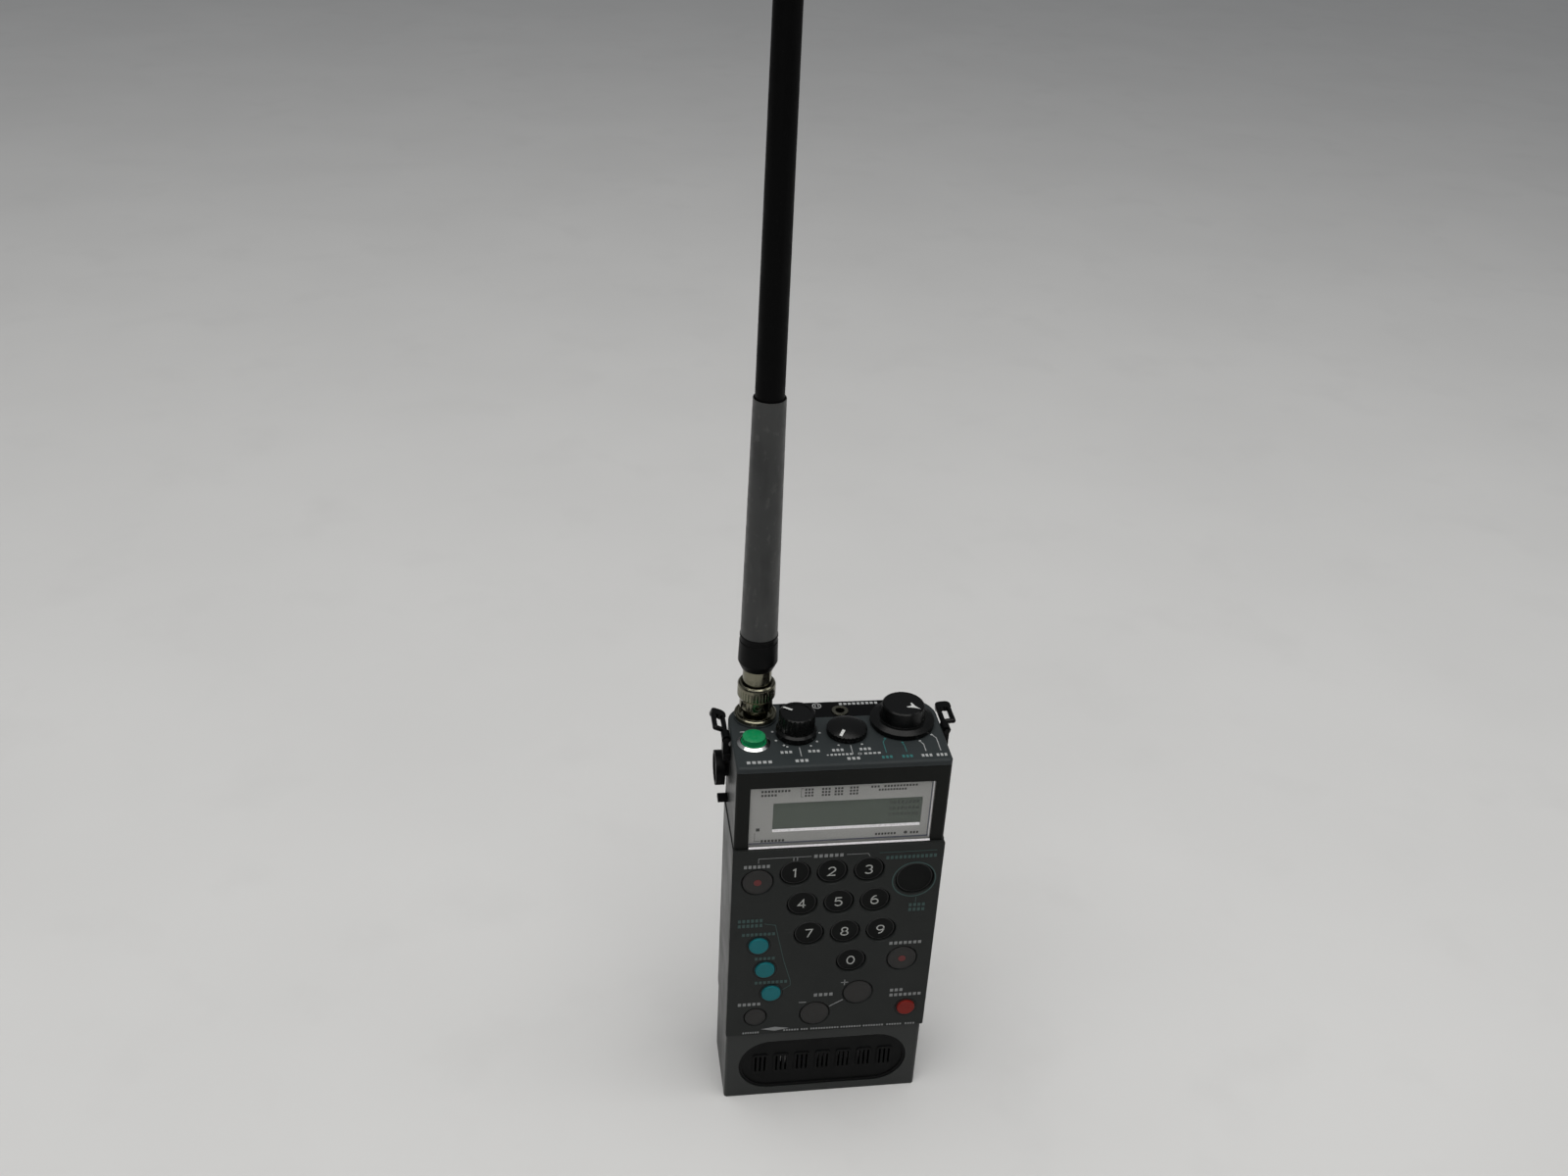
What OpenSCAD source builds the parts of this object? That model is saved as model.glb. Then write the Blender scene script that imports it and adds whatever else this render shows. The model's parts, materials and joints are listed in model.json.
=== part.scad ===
// Handheld aviation radio: a keypad receiver with a whip antenna on a bayonet socket.
// Origin at the centre of the bottom face, +X to the operator's right, -Y towards the operator, +Z up.

/* [Body] */
// Width across the keypad band
body_w = 82; // [76:1:90]
// Depth from the display face to the back
body_d = 41; // [40:1:46]
// Height of the case, without knobs and antenna
body_h = 171; // [168:1:180]
// How far the keypad band stands out from the sides
band_step = 0.4; // [0.4:0.1:1.2]
// Thickness of the case walls
wall = 2; // [1.6:0.1:2.4]
// Radius of the upright rear edges
rear_r = 10.5; // [9:0.5:12]
// Radius of the upright front edges
front_r = 1.4; // [0.8:0.1:2]
// Thickness of the top panel
top_t = 2.5; // [2:0.1:3]

/* [Keypad] */
// Distance between two columns of number keys
key_pitch_x = 14.4; // [14:0.1:15]
// Distance between two rows of number keys
key_pitch_z = 15.6; // [15:0.1:16]
// How far each row is shifted to the right of the row above
key_shift = 3.5; // [0:0.1:4]
// Diameter of a number key's well
well_d = 12.2; // [11:0.1:12.6]
// Travel of a key
key_travel = 0.8; // [0.5:0.1:0.8]

/* [Display] */
// Width of the silver display frame
frame_w = 70.4; // [60:0.2:72]
// Height of the silver display frame
frame_h = 28.5; // [26:0.1:30]
// Width of the visible liquid crystal
lcd_w = 57; // [50:1:60]
// Height of the visible liquid crystal
lcd_h = 13.4; // [10:0.1:15]

/* [Knobs] */
// Skirt diameter of the volume knob
volume_d = 15.6; // [14:0.1:16]
// Height of the volume knob above the panel
volume_h = 10.2; // [8:0.1:13]
// Diameter of the squelch knob
squelch_d = 15.5; // [14:0.1:16]
// Height of the squelch knob above the panel
squelch_h = 4.2; // [4:0.1:8]
// Flange diameter of the band selector
band_d = 24.7; // [22:0.1:25]
// Height of the band selector above the panel
band_h = 9; // [8:0.1:12]

/* [Antenna] */
// Height of the antenna's tip above the base
tip_z = 460; // [440:5:600]
// Height at which the grey sleeve ends
sleeve_top = 303.5; // [260:0.5:320]
// Diameter of the knurled coupling nut
nut_d = 14.5; // [14.5:0.1:15]

/* [Battery bay] */
// Diameter of a cell
cell_d = 14.5; // [14:0.1:14.5]
// Length of a cell
cell_l = 50.5; // [49:0.1:50.5]

/* [Hidden] */
$fn = 96;
eps = 0.01;
run = 0.05;      // radial clearance of a running fit
gap = 0.3;       // clearance between pieces that move past each other

front_y = -body_d / 2;
rear_y = body_d / 2;
core_hw = body_w / 2 - band_step;
case_top = body_h - top_t;
split_y = -1;
cavity_y = rear_y - wall;

// keypad band
band_z0 = 36.2;
band_z1 = 132.8;
panel_t = 2;
panel_y = front_y - 1.2;
panel_back = panel_y + panel_t;
field_hw = body_w / 2 - 2.6;
field_z0 = band_z0 + 2.6;
field_z1 = band_z1 - 2.4;

// planes behind the keypad, from front to back
flange_y = panel_back + 0.1;
flange_t = 0.7;
dome_y = flange_y + flange_t + key_travel + 0.1;
dome_t = 0.6;
mat_t = 0.9;
board_t = 1.6;
key_board_y = dome_y + dome_t + mat_t + 0.1;
key_board_back = key_board_y + board_t;

// keys: name, x, z, well diameter, side gap, front face, colour
grid_x = -16.6;
grid_z = 120.6;
sunk = panel_y + 1.1;
flush = panel_y - 0.2;
proud = panel_y - 0.7;
function grid(col, row) = [grid_x + col * key_pitch_x + row * key_shift, grid_z - row * key_pitch_z];
function digit_place(n) = n == 0 ? grid(1, 3) : grid((n - 1) % 3, floor((n - 1) / 3));
function preset_place(i) = [-29.4 + 3 * i, 84.9 - 12.9 * i];
DIGIT_KEYS = [for (n = [0:9]) [str("key_", n), digit_place(n), well_d, gap, sunk, "#1d1f1e"]];
PRESET_KEYS = [for (i = [0:2]) [str("key_preset_", i + 1), preset_place(i), 9, 0.6, proud, "#2e8f96"]];
OTHER_KEYS = [
    ["key_direct", [-31.1, 117.4], well_d, gap, flush, "#4a4744"],
    ["key_memory", [30.7, 114.8], 15.4, gap, sunk, "#26292a"],
    ["key_execute", [29, 73.7], well_d, gap, flush, "#4a4744"],
    ["key_enter", [-29.3, 46.2], 9.2, gap, flush, "#4a4744"],
    ["key_scan_down", [-5, 46.2], well_d, gap, flush, "#4a4744"],
    ["key_scan_up", [12.2, 56.5], well_d, gap, flush, "#4a4744"],
    ["key_lock", [32.9, 46.5], 8.6, 0.6, proud, "#962323"],
];
KEYS = concat(DIGIT_KEYS, PRESET_KEYS, OTHER_KEYS);

// display, from front to back
frame_z0 = band_z1;
frame_z1 = frame_z0 + frame_h;
window_y = front_y + 0.2;
window_t = 0.8;
bezel_t = 0.6;
bezel_y = window_y + window_t;
lcd_y = bezel_y + bezel_t;
lcd_t = 3.6;
lcd_x = 2.3;
lcd_z = 140;
fit = 0.1;

// oval grille at the foot
oval_x = 0.3;
oval_z = 17.1;
oval_r = 13.4;
oval_half = 21.9;
grille_y = front_y + 0.4;
grille_t = 1.6;
block_pitch = 8.75;
speaker_z = 20.7;
speaker_r = 18;

// things on the top panel
top_z = body_h;
knob_z = top_z + 0.4;
shaft_r = 3;
bush_r = 3.5;
pot_r = 8;
pot_h = 10;
VOLUME = [-15.9, -0.3];
SQUELCH = [3.5, -0.6];
BAND = [25.8, 4.4];
POWER = [-32.6, -4.9];
SOCKET = [-30, 12];
EARPHONE = [-11.5, 13.3];
AUX = [3.2, 13.3];
strip_y = 9.8;
jack_r = 1.8;
jack_l = 14;

// power button
ring_r = 6.3;
cap_r = 4.75;
cap_top = top_z + 4;
power_travel = 1.5;

// antenna socket and plug, heights above the base
boss_r = 8.3;
boss_top = top_z + 1;
ring_top = boss_top + 1.8;
socket_ring_r = 8.1;
barrel_r = 4.8;
barrel_top = 183;
lug_z = 179.4;
nut_z0 = 177;
knurl_z0 = 181;
knurl_z1 = 187.8;
nut_bore = 5.7;
skirt_r = 6.35;
neck_r = 5.5;
boot_z0 = 194.4;
boot_z1 = 209;
rod_z0 = 200;
tip_r = 4.6;

// left side controls and strap rings
BUTTON = [7, 151.4];
button_r = 6.8;
button_travel = 1.2;
SWITCH = [5, 138.2];
switch_travel = 3;
RING_PIVOT = [core_hw + 1.8, 170];
ring_out = 4;
ring_y0 = 5.2;
ring_y1 = 13.6;
ring_end = 17.2;
wire_r = 1;
lean_right = 4;
lean_left = 24;

// battery bay and door
bay_hw = 30.2;
bay_y = 3.2;
bay_z0 = 8;
bay_z1 = 66;
bay_wall = 1.4;
cell_y = cavity_y - 0.4 - cell_d / 2;
cell_z = 11.5;
door_hw = 30.6;
door_z0 = 8.9;
door_z1 = 66.3;
HINGE = [18.9, 9.6];
hinge_r = 1;

// case screws: x and z, used on both sides
SCREWS = [[34.5, 76], [34.5, 127]];
screw_r = 1.25;
head_r = 2.6;
head_y = 13.2;

SHELL_NODES = ["front_case", "keypad_panel", "rear_case", "top_panel", "jack_strip", "speaker_grille"];
INNER_NODES = ["lcd_window", "lcd_bezel", "lcd_panel", "speaker", "key_mat", "key_board",
    "main_board", "tuner_shield", "ferrite_antenna", "case_screws"];
TOP_NODES = ["power_ring", "power_button", "power_switch", "volume_knob", "squelch_knob",
    "control_pots", "band_knob", "band_switch", "earphone_jack", "aux_antenna_jack"];
ANTENNA_NODES = ["antenna_socket", "antenna_nut", "antenna_plug", "antenna_boot",
    "antenna_sleeve", "antenna_rod"];
SIDE_NODES = ["side_button", "side_switch", "strap_lugs", "strap_loop_left", "strap_loop_right"];
BATTERY_NODES = ["battery_door", "battery_cells", "battery_contacts"];

// ---- shared shapes ----

// Plan of the case: small radii in front, large radii behind.
module plan(half_w, y0, y1, r0, r1) {
    translate([-half_w, y0 + r0]) square([2 * half_w, y1 - r1 - y0 - r0]);
    translate([-half_w + r0, y0]) square([2 * (half_w - r0), 2 * r0]);
    translate([-half_w + r1, y1 - 2 * r1]) square([2 * (half_w - r1), 2 * r1]);
    for (s = [-1, 1]) {
        translate([s * (half_w - r0), y0 + r0]) circle(r0);
        translate([s * (half_w - r1), y1 - r1]) circle(r1);
    }
}

// Solid on that plan with its top edge bevelled by c all round, from z0 to z1.
module bevelled_plan(half_w, y0, y1, r0, r1, z0, z1, c) {
    translate([0, 0, z0]) linear_extrude(z1 - c - z0) plan(half_w, y0, y1, r0, r1);
    translate([0, 0, z1 - c]) {
        // the middle, bevelled in front and behind
        translate([-half_w + r1, 0, 0]) rotate([90, 0, 90]) linear_extrude(2 * (half_w - r1))
            polygon([[y0, 0], [y1, 0], [y1 - c, c], [y0 + c, c]]);
        // the flat sides
        translate([0, y1 - r1, 0]) rotate([90, 0, 0]) linear_extrude(y1 - r1 - y0 - r0)
            polygon([[-half_w, 0], [half_w, 0], [half_w - c, c], [-half_w + c, c]]);
        // the front, out to its corners
        translate([-half_w + r0, 0, 0]) rotate([90, 0, 90]) linear_extrude(2 * (half_w - r0))
            polygon([[y0, 0], [y0 + 2 * r0, 0], [y0 + 2 * r0, c], [y0 + c, c]]);
        for (s = [-1, 1]) {
            translate([s * (half_w - r0), y0 + r0]) cylinder(r1 = r0, r2 = r0 - c, h = c);
            translate([s * (half_w - r1), y1 - r1]) cylinder(r1 = r1, r2 = r1 - c, h = c);
        }
    }
}

// The case as a solid, with every upright wall moved in by inset, from z0 up to the top panel.
module case_solid(inset, z0) {
    r0 = max(front_r - inset, 0.2);
    translate([0, 0, z0]) linear_extrude(case_top - z0)
        plan(core_hw - inset, front_y + inset, rear_y - inset, r0, rear_r - inset);
    translate([0, 0, band_z0 + inset]) linear_extrude(band_z1 - band_z0 - 2 * inset)
        plan(body_w / 2 - inset, front_y + inset, rear_y - inset, r0, rear_r - inset);
}

// A disc or tube on the Y axis, from y0 to y1, centred on x and z.
module along_y(x, z, y0, y1, r) {
    translate([x, y0, z]) rotate([-90, 0, 0]) cylinder(r = r, h = y1 - y0);
}

// The same on the X axis.
module along_x(y, z, x0, x1, r) {
    translate([x0, y, z]) rotate([0, 90, 0]) cylinder(r = r, h = x1 - x0);
}

module box(low, high) {
    translate(low) cube(high - low);
}

// Upright plate with round ends, from y0 to y1.
module oval(r, y0, y1) {
    box([oval_x - oval_half, y0, oval_z - r], [oval_x + oval_half, y1, oval_z + r]);
    for (s = [-1, 1]) along_y(oval_x + s * oval_half, oval_z, y0, y1, r);
}

// Plate in the XZ plane with rounded corners, from y0 to y1.
module plate(x0, z0, x1, z1, y0, y1, r) {
    box([x0 + r, y0, z0], [x1 - r, y1, z1]);
    box([x0, y0, z0 + r], [x1, y1, z1 - r]);
    for (x = [x0 + r, x1 - r], z = [z0 + r, z1 - r]) along_y(x, z, y0, y1, r);
}

// Grooves round a knob of radius r, between z0 and z1.
module flutes(count, r, size, z0, z1) {
    for (i = [0:count - 1]) rotate([0, 0, i * 360 / count])
        translate([r, 0, z0]) cylinder(r = size, h = z1 - z0, $fn = 16);
}

module at(place) {
    translate([place[0], place[1], 0]) children();
}

// ---- case ----

module screw_post(x, z, y0, y1, r) {
    s = sign(x);
    along_y(x, z, y0, y1, r);
    box([min(x, s * (body_w / 2 - 1)), y0, z - 1.4], [max(x, s * (body_w / 2 - 1)), y1, z + 1.4]);
}

module front_case() {
    color("#24282a") difference() {
        union() {
            intersection() {
                difference() {
                    case_solid(0, 0);
                    case_solid(wall, wall);
                }
                box([-body_w, front_y - 1, -1], [body_w, split_y, body_h]);
            }
            for (s = [-1, 1], p = SCREWS) screw_post(s * p[0], p[1], -11, split_y, 3.2);
        }
        box([-body_w, front_y - 5, band_z0], [body_w, panel_back, band_z1]);
        box([-field_hw, front_y - 1, field_z0], [field_hw, key_board_y, field_z1]);
        box([-frame_w / 2, front_y - 1, frame_z0], [frame_w / 2, front_y + wall + 1, frame_z1]);
        oval(oval_r, front_y - 1, front_y + wall + 1);
        for (s = [-1, 1], p = SCREWS) along_y(s * p[0], p[1], -10.5, split_y + 1, screw_r + run);
        translate([0, front_y, case_top + 0.3]) rotate([45, 0, 0]) cube([body_w * 2, 1, 1], center = true);
    }
}

module keypad_panel() {
    color("#2f3330") difference() {
        plate(-body_w / 2, band_z0, body_w / 2, band_z1, panel_y, panel_back, 0.8);
        for (k = KEYS) {
            along_y(k[1][0], k[1][1], panel_y - 1, panel_back + 1, k[2] / 2);
            translate([k[1][0], panel_y - eps, k[1][1]]) rotate([-90, 0, 0])
                cylinder(r1 = k[2] / 2 + 0.4, r2 = k[2] / 2, h = 0.4);
        }
    }
}

module rear_case() {
    color("#272a2c") difference() {
        union() {
            intersection() {
                difference() {
                    case_solid(0, 0);
                    case_solid(wall, wall);
                }
                box([-body_w, split_y, -1], [body_w, rear_y + 1, body_h]);
            }
            bay_shell();
            intersection() {
                for (s = [-1, 1], p = SCREWS) screw_post(s * p[0], p[1], split_y, cavity_y, 4);
                case_solid(0.3, 1);
            }
            hinge_block();
            mirror([1, 0, 0]) hinge_block();
        }
        box([-door_hw - gap, cavity_y - 0.5, door_z0 - 1.5], [door_hw + gap, rear_y + 1, door_z1 + gap]);
        for (s = [-1, 1], p = SCREWS) {
            along_y(s * p[0], p[1], split_y - 1, head_y + 1, screw_r + 0.25);
            along_y(s * p[0], p[1], head_y, rear_y + 1, head_r + 0.3);
        }
        along_x(HINGE[0], HINGE[1], -32.4, 32.4, hinge_r + run);
        along_x(BUTTON[0], BUTTON[1], -body_w / 2 - 1, -35, 3.8);
        box([-body_w / 2 - 1, SWITCH[0] - 2.1, SWITCH[1] - 1.1], [-36, SWITCH[0] + 2.1 + switch_travel, SWITCH[1] + 1.1]);
        // finger notch above the door
        translate([0, rear_y + 6.6, door_z1 + 2]) sphere(r = 8);
    }
}

// Block beside the door opening that holds one hinge pin of the door.
module hinge_block() {
    box([door_hw + gap, 16, 7], [33, 19.2, 12.5]);
}

// Walls of the cell compartment, joined to the rear wall.
module bay_shell() {
    difference() {
        box([-bay_hw - bay_wall, bay_y - bay_wall, bay_z0 - bay_wall], [bay_hw + bay_wall, cavity_y + 0.2, bay_z1 + bay_wall]);
        box([-bay_hw, bay_y, bay_z0], [bay_hw, rear_y + 1, bay_z1]);
    }
}

module top_panel() {
    color("#2c3138") difference() {
        union() {
            bevelled_plan(core_hw, front_y, rear_y, front_r, rear_r, case_top, top_z, 0.6);
            at(SOCKET) translate([0, 0, case_top]) cylinder(r = boss_r, h = boss_top - case_top);
        }
        for (p = [VOLUME, SQUELCH, BAND]) at(p) translate([0, 0, case_top - 1]) cylinder(r = bush_r + 0.1, h = top_t + 2);
        at(POWER) translate([0, 0, case_top - 1]) cylinder(r = ring_r - 0.9, h = top_t + 2);
        at(SOCKET) translate([0, 0, case_top - 1]) cylinder(r = 6.1, h = 10);
        for (p = [EARPHONE, AUX]) at(p) translate([0, 0, case_top - 1]) cylinder(r = 3.3, h = top_t + 2);
        strip_shape(0, top_z - 0.5, top_z + 1);
    }
}

// Inlay along the rear edge of the top, behind the knobs.
module strip_shape(inset, z0, z1) {
    intersection() {
        translate([0, 0, z0]) linear_extrude(z1 - z0)
            plan(core_hw - 1 - inset, front_y, rear_y - 1 - inset, front_r, rear_r - 1);
        box([-19.8 + inset, strip_y + inset, z0 - 1], [36 - inset, rear_y, z1 + 1]);
    }
}

module jack_strip() {
    color("#121314") difference() {
        strip_shape(fit, top_z - 0.5, top_z + 0.1);
        for (p = [EARPHONE, AUX]) at(p) translate([0, 0, top_z - 1]) cylinder(r = 3.3, h = 3);
    }
}

module speaker_grille() {
    color("#141516") difference() {
        union() {
            oval(oval_r - fit, grille_y + 0.5, grille_y + grille_t);
            oval(oval_r + 0.9, grille_y + grille_t, grille_y + grille_t + 0.8);
            difference() {
                oval(oval_r - fit, grille_y, grille_y + 1);
                oval(oval_r - 1.2, grille_y - 1, grille_y + 0.6);
            }
            for (i = [-3:3]) grille_block(oval_x + i * block_pitch);
        }
        for (i = [-3:3], x = [-1.9, 0, 1.9])
            at([oval_x + i * block_pitch + x, 0])
                plate(-0.4, oval_z - 4.2, 0.4, oval_z + 4.2, grille_y - 1, grille_y + 4, 0.39);
    }
}

module grille_block(x) {
    plate(x - 3.2, oval_z - 5.2, x + 3.2, oval_z + 5.2, grille_y + 0.1, grille_y + 1, 1.2);
}

// ---- display ----

module lcd_window() {
    color("#dfe6e2", 0.35)
        plate(-frame_w / 2 + fit, frame_z0 + fit, frame_w / 2 - fit, frame_z1 - fit, window_y, bezel_y, 0.6);
}

module lcd_bezel() {
    color("#b9b6aa") difference() {
        plate(-frame_w / 2 + fit, frame_z0 + fit, frame_w / 2 - fit, frame_z1 - fit, bezel_y, lcd_y, 0.6);
        box([lcd_x - lcd_w / 2, bezel_y - 1, lcd_z], [lcd_x + lcd_w / 2, lcd_y + 1, lcd_z + lcd_h]);
    }
}

module lcd_panel() {
    color("#5d675b") difference() {
        plate(lcd_x - lcd_w / 2 - 3, lcd_z - 4, lcd_x + lcd_w / 2 + 3, lcd_z + lcd_h + 3, lcd_y, lcd_y + lcd_t, 0.8);
        box([lcd_x - lcd_w / 2 + 3, lcd_y + 2.4, lcd_z - 1], [lcd_x + lcd_w / 2 - 3, lcd_y + lcd_t + 1, lcd_z + lcd_h + 1]);
    }
}

// ---- keys ----

module key(k) {
    r = k[2] / 2 - k[3];
    color(k[5]) {
        along_y(k[1][0], k[1][1], k[4] + 0.3, flange_y + eps, r);
        translate([k[1][0], k[4], k[1][1]]) rotate([-90, 0, 0]) cylinder(r1 = r - 0.3, r2 = r, h = 0.3);
        // the flange behind the panel, kept clear of the side walls
        intersection() {
            along_y(k[1][0], k[1][1], flange_y, flange_y + flange_t, k[2] / 2 + 0.5);
            box([-field_hw + 0.5, flange_y - 1, 0], [field_hw - 0.5, flange_y + 2, body_h]);
        }
    }
}

module key_mat() {
    color("#3b3b3a") {
        plate(-field_hw + 0.3, field_z0 + 0.3, field_hw - 0.3, field_z1 - 0.3, dome_y + dome_t, dome_y + dome_t + mat_t, 2);
        for (k = KEYS) along_y(k[1][0], k[1][1], dome_y, dome_y + dome_t + eps, 3.4);
    }
}

module key_board() {
    color("#1f5c3c")
        plate(-field_hw + 0.3, field_z0 + 0.3, field_hw - 0.3, field_z1 - 0.3, key_board_y, key_board_back, 1);
}

// ---- inside the case ----

module main_board() {
    board_y = -10.6;
    color("#27704a") {
        plate(-31, 44, 31, 148, board_y, board_y + board_t, 1);
        // the larger chips, soldered to the back of the board
        box([12, board_y + board_t - eps, 96], [26, board_y + board_t + 2.4, 110]);
        box([14, board_y + board_t - eps, 118], [24, board_y + board_t + 2, 134]);
        box([-24, board_y + board_t - eps, 74], [-12, board_y + board_t + 2.4, 82]);
        for (x = [-4, 6, 16]) along_y(x, 80, board_y + board_t - eps, board_y + board_t + 7, 3);
    }
}

module tuner_shield() {
    color("#b6b8b6") difference() {
        box([-27, -9, 90], [8, -0.8, 128]);
        box([-26.6, -9.5, 90.4], [7.6, -1.2, 127.6]);
        for (x = [-20, -9.5, 1], z = [98, 120]) along_y(x, z, -3, 0, 1.6);
    }
}

module ferrite_antenna() {
    color("#3a3532") along_x(12, 140, -30, 30, 4);
    color("#a8672f") for (x = [-18, 10]) difference() {
        along_x(12, 140, x - 6, x + 6, 5);
        along_x(12, 140, x - 7, x + 7, 4);
    }
}

module speaker() {
    back = grille_y + grille_t + 0.9;
    color("#55585a") difference() {
        union() {
            along_y(oval_x, speaker_z, back, back + 2, speaker_r);
            translate([oval_x, back + 2 - eps, speaker_z]) rotate([-90, 0, 0]) cylinder(r1 = speaker_r - 2, r2 = 9, h = 5);
            along_y(oval_x, speaker_z, back + 7 - eps, back + 10.5, 11);
        }
        translate([oval_x, back - eps, speaker_z]) rotate([-90, 0, 0]) cylinder(r1 = speaker_r - 3, r2 = 4, h = 5);
    }
}

module case_screws() {
    color("#8d8f8e") for (s = [-1, 1], p = SCREWS) difference() {
        union() {
            along_y(s * p[0], p[1], -10, head_y + eps, screw_r);
            along_y(s * p[0], p[1], head_y, head_y + 1.8, head_r);
        }
        for (a = [0, 90]) translate([s * p[0], head_y + 1.8, p[1]]) rotate([0, a, 0])
            cube([2.8, 1.6, 0.6], center = true);
    }
}

// ---- controls on the top ----

module power_ring() {
    color("#c9cbcb") at(POWER) difference() {
        union() {
            translate([0, 0, top_z]) cylinder(r = ring_r, h = 0.3);
            translate([0, 0, top_z + 0.3 - eps]) cylinder(r1 = ring_r, r2 = ring_r - 1.1, h = 0.8);
            translate([0, 0, case_top]) cylinder(r = ring_r - 0.9, h = top_t + 0.5);
        }
        translate([0, 0, case_top - 1]) cylinder(r = cap_r + gap, h = 10);
    }
}

module power_button() {
    dome = 12;
    color("#0f9a55") at(POWER) {
        intersection() {
            translate([0, 0, case_top - 1]) cylinder(r = cap_r - 0.45, h = 10);
            translate([0, 0, cap_top - dome]) sphere(r = dome);
        }
        translate([0, 0, case_top - 1]) cylinder(r = cap_r, h = top_t + 2);
        translate([0, 0, case_top - 1.3]) cylinder(r = cap_r + 0.65, h = 1);
        translate([0, 0, case_top - 2.4]) cylinder(r = 1.6, h = 2);
    }
}

module power_switch() {
    color("#2b2b2d") at(POWER)
        box([-5, -5, case_top - 14], [5, 5, case_top - 2.4 - power_travel - 0.2]);
}

// Potentiometer or switch body under the panel, with its bush and fixed shaft.
module spindle(place, r, h, top) {
    at(place) {
        translate([0, 0, case_top - h]) cylinder(r = r, h = h - 0.1);
        translate([0, 0, case_top - 1]) cylinder(r = bush_r, h = top_t + 1.2);
        translate([0, 0, case_top]) cylinder(r = shaft_r, h = top - case_top);
    }
}

module control_pots() {
    color("#8f9393") {
        spindle(VOLUME, pot_r, pot_h, top_z + volume_h - 1.6);
        spindle(SQUELCH, pot_r, pot_h, top_z + squelch_h - 1.2);
    }
}

module band_switch() {
    color("#77797a") spindle(BAND, 10, 15, top_z + band_h - 1.6);
}

module knob_bore(h) {
    translate([0, 0, top_z - 1]) cylinder(r = shaft_r + run, h = h + 1);
}

module volume_knob() {
    r = volume_d / 2;
    grip_r = r - 0.9;
    top = top_z + volume_h;
    color("#161718") at(VOLUME) difference() {
        union() {
            translate([0, 0, knob_z]) cylinder(r = r, h = 2);
            translate([0, 0, knob_z + 2 - eps]) cylinder(r1 = r, r2 = grip_r, h = 0.8);
            translate([0, 0, knob_z]) cylinder(r = grip_r, h = top - knob_z - 0.5);
            translate([0, 0, top - 0.5 - eps]) cylinder(r1 = grip_r, r2 = grip_r - 0.5, h = 0.5);
        }
        flutes(24, grip_r + 0.15, 0.45, knob_z + 3, top + 1);
        translate([0, 0, top - 0.3]) cylinder(r = grip_r - 1.6, h = 1);
        knob_bore(volume_h - 1.4);
    }
}

module squelch_knob() {
    r = squelch_d / 2;
    rim = 2;
    rise = squelch_h - 0.4 - rim;
    dome = (r * r + rise * rise) / (2 * rise);
    color("#161718") at(SQUELCH) difference() {
        intersection() {
            translate([0, 0, knob_z]) cylinder(r = r, h = squelch_h);
            translate([0, 0, top_z + squelch_h - dome]) sphere(r = dome, $fn = 160);
        }
        flutes(30, r + 0.2, 0.45, knob_z + 0.6, top_z + squelch_h);
        knob_bore(squelch_h - 1);
    }
}

module band_knob() {
    r = band_d / 2;
    cap_base = 9.1;
    cap_tip = 8.1;
    flange_h = 1.8;
    top = top_z + band_h;
    color("#161718") at(BAND) difference() {
        union() {
            translate([0, 0, knob_z]) cylinder(r = r, h = flange_h);
            translate([0, 0, knob_z + flange_h - eps]) cylinder(r1 = r, r2 = cap_base + 1, h = 1);
            translate([0, 0, knob_z]) cylinder(r1 = cap_base, r2 = cap_tip, h = top - knob_z - 0.5);
            translate([0, 0, top - 0.5 - eps]) cylinder(r1 = cap_tip, r2 = cap_tip - 0.5, h = 0.5);
        }
        flutes(28, cap_base + 0.1, 0.5, knob_z + flange_h + 1.2, top - 1);
        knob_bore(band_h - 1.4);
    }
}

// Jack with a plug bore, its panel ring and its body under the panel.
module jack(place, tone) {
    color(tone) at(place) difference() {
        union() {
            translate([0, 0, top_z + 0.1]) cylinder(r = 3.2, h = 0.5);
            translate([0, 0, case_top - 1]) cylinder(r = 3.2, h = top_t + 1.2);
            box([-4, -4, case_top - 13.5], [4, 4, case_top - 0.1]);
        }
        translate([0, 0, top_z + 0.6 - jack_l]) cylinder(r = jack_r, h = jack_l + 1);
    }
}

module earphone_jack() {
    jack(EARPHONE, "#9a8f6a");
}

module aux_antenna_jack() {
    jack(AUX, "#9a8f6a");
}

// ---- antenna ----

module antenna_socket() {
    color("#bdb8a6") at(SOCKET) {
        difference() {
            union() {
                translate([0, 0, boss_top]) cylinder(r = socket_ring_r, h = ring_top - boss_top - 0.4);
                translate([0, 0, ring_top - 0.4 - eps]) cylinder(r1 = socket_ring_r, r2 = socket_ring_r - 0.4, h = 0.4);
                translate([0, 0, case_top - 9]) cylinder(r = 6, h = boss_top - case_top + 9 + eps);
                translate([0, 0, case_top - 2.5]) cylinder(r = 6.7, h = 2.4, $fn = 6);
                translate([0, 0, boss_top]) cylinder(r = barrel_r, h = barrel_top - boss_top);
                along_y(0, lug_z, -5.5, 5.5, 0.9);
            }
            // the outer groove, then the deeper well round the barrel
            ring_groove(6.9, 7.35, ring_top - 0.8);
            ring_groove(barrel_r, 6.4, ring_top - 1.6);
            translate([0, 0, boss_top + 0.6]) cylinder(r = barrel_r - 0.5, h = 20);
        }
        translate([0, 0, boss_top]) cylinder(r = 1.2, h = 3);
    }
}

module ring_groove(r0, r1, z) {
    difference() {
        translate([0, 0, z]) cylinder(r = r1, h = 2);
        translate([0, 0, z - 1]) cylinder(r = r0, h = 4);
    }
}

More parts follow.
